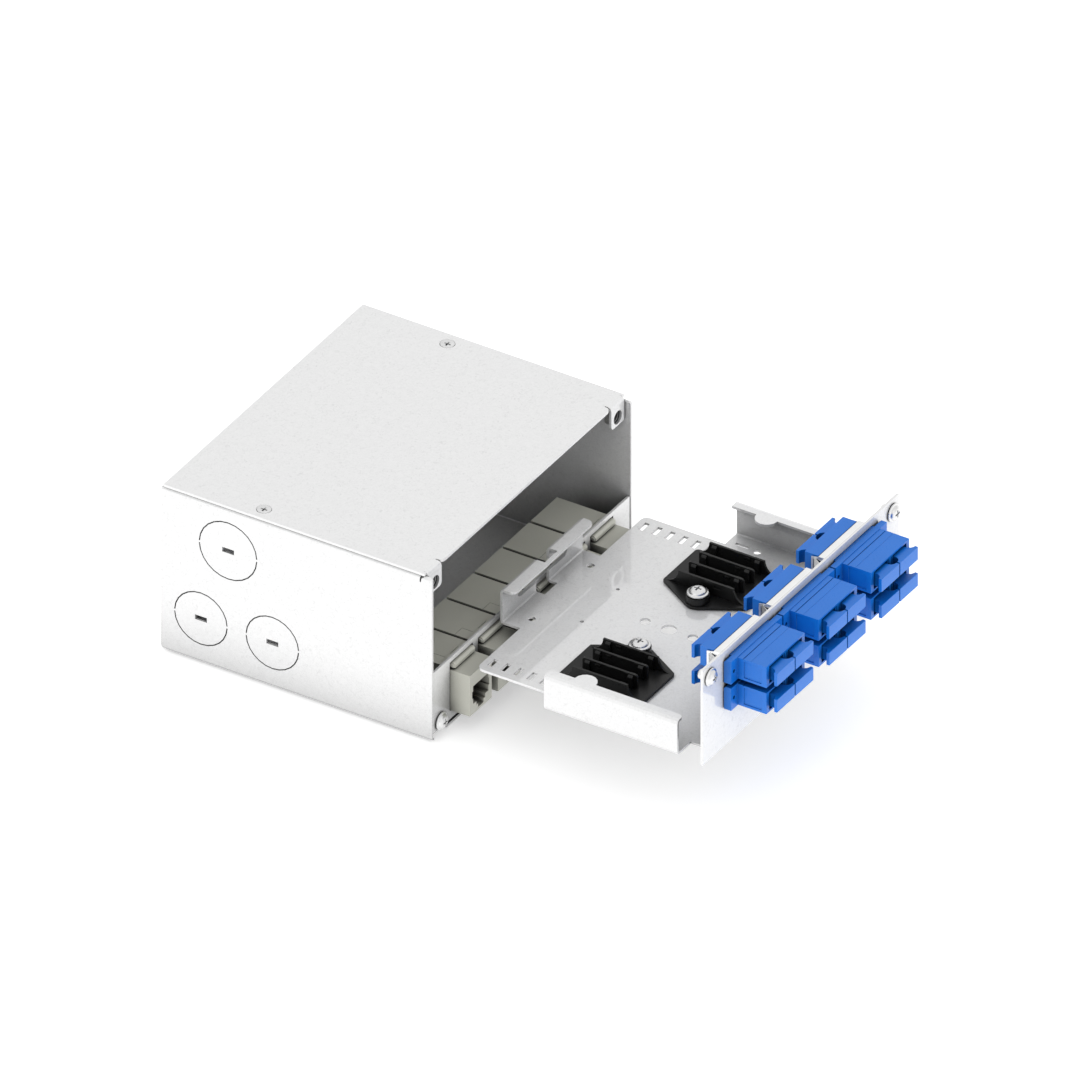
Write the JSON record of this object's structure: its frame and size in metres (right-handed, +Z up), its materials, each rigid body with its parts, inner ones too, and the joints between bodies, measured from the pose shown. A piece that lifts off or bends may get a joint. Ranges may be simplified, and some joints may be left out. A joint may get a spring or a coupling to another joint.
{
  "type": "fiber termination box",
  "caption": "Sheet-steel fiber termination box with keystone jacks, and a sliding tray that holds splice holders and duplex adapters with dust caps.",
  "frame": {"origin": "centre of the housing's flat underside", "axes": "+X across the box, to the side without knockouts; +Y to the closed back; +Z up. The tray slides out along -Y."},
  "size_m": [0.136, 0.2463, 0.071],
  "materials": {
    "powder_coat": "fine orange-peel powder coat, white",
    "adapter_blue": "moulded plastic, satin blue",
    "jack_grey": "moulded plastic, warm grey",
    "holder_black": "moulded plastic, satin black",
    "zinc_plate": "bright zinc-plated steel",
    "spring_steel": "bright spring steel"
  },
  "bodies": {
    "housing": {"housing_body": "powder_coat", "top_cover": "powder_coat", "lower_panel": "powder_coat", "jack_1": "jack_grey", "jack_2": "jack_grey", "jack_3": "jack_grey", "jack_4": "jack_grey", "jack_5": "jack_grey", "jack_6": "jack_grey", "cover_screw_left": "zinc_plate", "cover_screw_right": "zinc_plate", "lower_panel_screw_left": "zinc_plate", "lower_panel_screw_right": "zinc_plate", "cover_nut_left": "zinc_plate", "cover_nut_right": "zinc_plate", "base_nut_left": "zinc_plate", "base_nut_right": "zinc_plate"},
    "tray": {"sliding_tray": "powder_coat", "splice_holder_left": "holder_black", "splice_holder_right": "holder_black", "adapter_1": "adapter_blue", "adapter_2": "adapter_blue", "adapter_3": "adapter_blue", "adapter_4": "adapter_blue", "adapter_5": "adapter_blue", "adapter_6": "adapter_blue", "adapter_clip_1": "spring_steel", "adapter_clip_2": "spring_steel", "adapter_clip_3": "spring_steel", "adapter_clip_4": "spring_steel", "adapter_clip_5": "spring_steel", "adapter_clip_6": "spring_steel", "holder_screw_left": "zinc_plate", "holder_screw_right": "zinc_plate", "drawer_screw_left": "zinc_plate", "drawer_screw_right": "zinc_plate"},
    "front_cap_01": {"front_dust_cap_01": "adapter_blue"},
    "front_cap_02": {"front_dust_cap_02": "adapter_blue"},
    "front_cap_03": {"front_dust_cap_03": "adapter_blue"},
    "front_cap_04": {"front_dust_cap_04": "adapter_blue"},
    "front_cap_05": {"front_dust_cap_05": "adapter_blue"},
    "front_cap_06": {"front_dust_cap_06": "adapter_blue"},
    "front_cap_07": {"front_dust_cap_07": "adapter_blue"},
    "front_cap_08": {"front_dust_cap_08": "adapter_blue"},
    "front_cap_09": {"front_dust_cap_09": "adapter_blue"},
    "front_cap_10": {"front_dust_cap_10": "adapter_blue"},
    "front_cap_11": {"front_dust_cap_11": "adapter_blue"},
    "front_cap_12": {"front_dust_cap_12": "adapter_blue"},
    "rear_cap_01": {"rear_dust_cap_01": "adapter_blue"},
    "rear_cap_02": {"rear_dust_cap_02": "adapter_blue"},
    "rear_cap_03": {"rear_dust_cap_03": "adapter_blue"},
    "rear_cap_04": {"rear_dust_cap_04": "adapter_blue"},
    "rear_cap_05": {"rear_dust_cap_05": "adapter_blue"},
    "rear_cap_06": {"rear_dust_cap_06": "adapter_blue"},
    "rear_cap_07": {"rear_dust_cap_07": "adapter_blue"},
    "rear_cap_08": {"rear_dust_cap_08": "adapter_blue"},
    "rear_cap_09": {"rear_dust_cap_09": "adapter_blue"},
    "rear_cap_10": {"rear_dust_cap_10": "adapter_blue"},
    "rear_cap_11": {"rear_dust_cap_11": "adapter_blue"},
    "rear_cap_12": {"rear_dust_cap_12": "adapter_blue"}
  },
  "joints": [
    {"name": "tray_slide", "type": "slide", "parent": "housing", "child": "tray", "axis": [0, -1, 0], "range_m": [-0.1139, 0]},
    {"name": "front_cap_01_pull", "type": "slide", "parent": "tray", "child": "front_cap_01", "axis": [0, -1, 0], "range_m": [0, 0.012]},
    {"name": "front_cap_02_pull", "type": "slide", "parent": "tray", "child": "front_cap_02", "axis": [0, -1, 0], "range_m": [0, 0.012]},
    {"name": "front_cap_03_pull", "type": "slide", "parent": "tray", "child": "front_cap_03", "axis": [0, -1, 0], "range_m": [0, 0.012]},
    {"name": "front_cap_04_pull", "type": "slide", "parent": "tray", "child": "front_cap_04", "axis": [0, -1, 0], "range_m": [0, 0.012]},
    {"name": "front_cap_05_pull", "type": "slide", "parent": "tray", "child": "front_cap_05", "axis": [0, -1, 0], "range_m": [0, 0.012]},
    {"name": "front_cap_06_pull", "type": "slide", "parent": "tray", "child": "front_cap_06", "axis": [0, -1, 0], "range_m": [0, 0.012]},
    {"name": "front_cap_07_pull", "type": "slide", "parent": "tray", "child": "front_cap_07", "axis": [0, -1, 0], "range_m": [0, 0.012]},
    {"name": "front_cap_08_pull", "type": "slide", "parent": "tray", "child": "front_cap_08", "axis": [0, -1, 0], "range_m": [0, 0.012]},
    {"name": "front_cap_09_pull", "type": "slide", "parent": "tray", "child": "front_cap_09", "axis": [0, -1, 0], "range_m": [0, 0.012]},
    {"name": "front_cap_10_pull", "type": "slide", "parent": "tray", "child": "front_cap_10", "axis": [0, -1, 0], "range_m": [0, 0.012]},
    {"name": "front_cap_11_pull", "type": "slide", "parent": "tray", "child": "front_cap_11", "axis": [0, -1, 0], "range_m": [0, 0.012]},
    {"name": "front_cap_12_pull", "type": "slide", "parent": "tray", "child": "front_cap_12", "axis": [0, -1, 0], "range_m": [0, 0.012]},
    {"name": "rear_cap_01_pull", "type": "slide", "parent": "tray", "child": "rear_cap_01", "axis": [0, 1, 0], "range_m": [0, 0.012]},
    {"name": "rear_cap_02_pull", "type": "slide", "parent": "tray", "child": "rear_cap_02", "axis": [0, 1, 0], "range_m": [0, 0.012]},
    {"name": "rear_cap_03_pull", "type": "slide", "parent": "tray", "child": "rear_cap_03", "axis": [0, 1, 0], "range_m": [0, 0.012]},
    {"name": "rear_cap_04_pull", "type": "slide", "parent": "tray", "child": "rear_cap_04", "axis": [0, 1, 0], "range_m": [0, 0.012]},
    {"name": "rear_cap_05_pull", "type": "slide", "parent": "tray", "child": "rear_cap_05", "axis": [0, 1, 0], "range_m": [0, 0.012]},
    {"name": "rear_cap_06_pull", "type": "slide", "parent": "tray", "child": "rear_cap_06", "axis": [0, 1, 0], "range_m": [0, 0.012]},
    {"name": "rear_cap_07_pull", "type": "slide", "parent": "tray", "child": "rear_cap_07", "axis": [0, 1, 0], "range_m": [0, 0.012]},
    {"name": "rear_cap_08_pull", "type": "slide", "parent": "tray", "child": "rear_cap_08", "axis": [0, 1, 0], "range_m": [0, 0.012]},
    {"name": "rear_cap_09_pull", "type": "slide", "parent": "tray", "child": "rear_cap_09", "axis": [0, 1, 0], "range_m": [0, 0.012]},
    {"name": "rear_cap_10_pull", "type": "slide", "parent": "tray", "child": "rear_cap_10", "axis": [0, 1, 0], "range_m": [0, 0.012]},
    {"name": "rear_cap_11_pull", "type": "slide", "parent": "tray", "child": "rear_cap_11", "axis": [0, 1, 0], "range_m": [0, 0.012]},
    {"name": "rear_cap_12_pull", "type": "slide", "parent": "tray", "child": "rear_cap_12", "axis": [0, 1, 0], "range_m": [0, 0.012]}
  ]
}
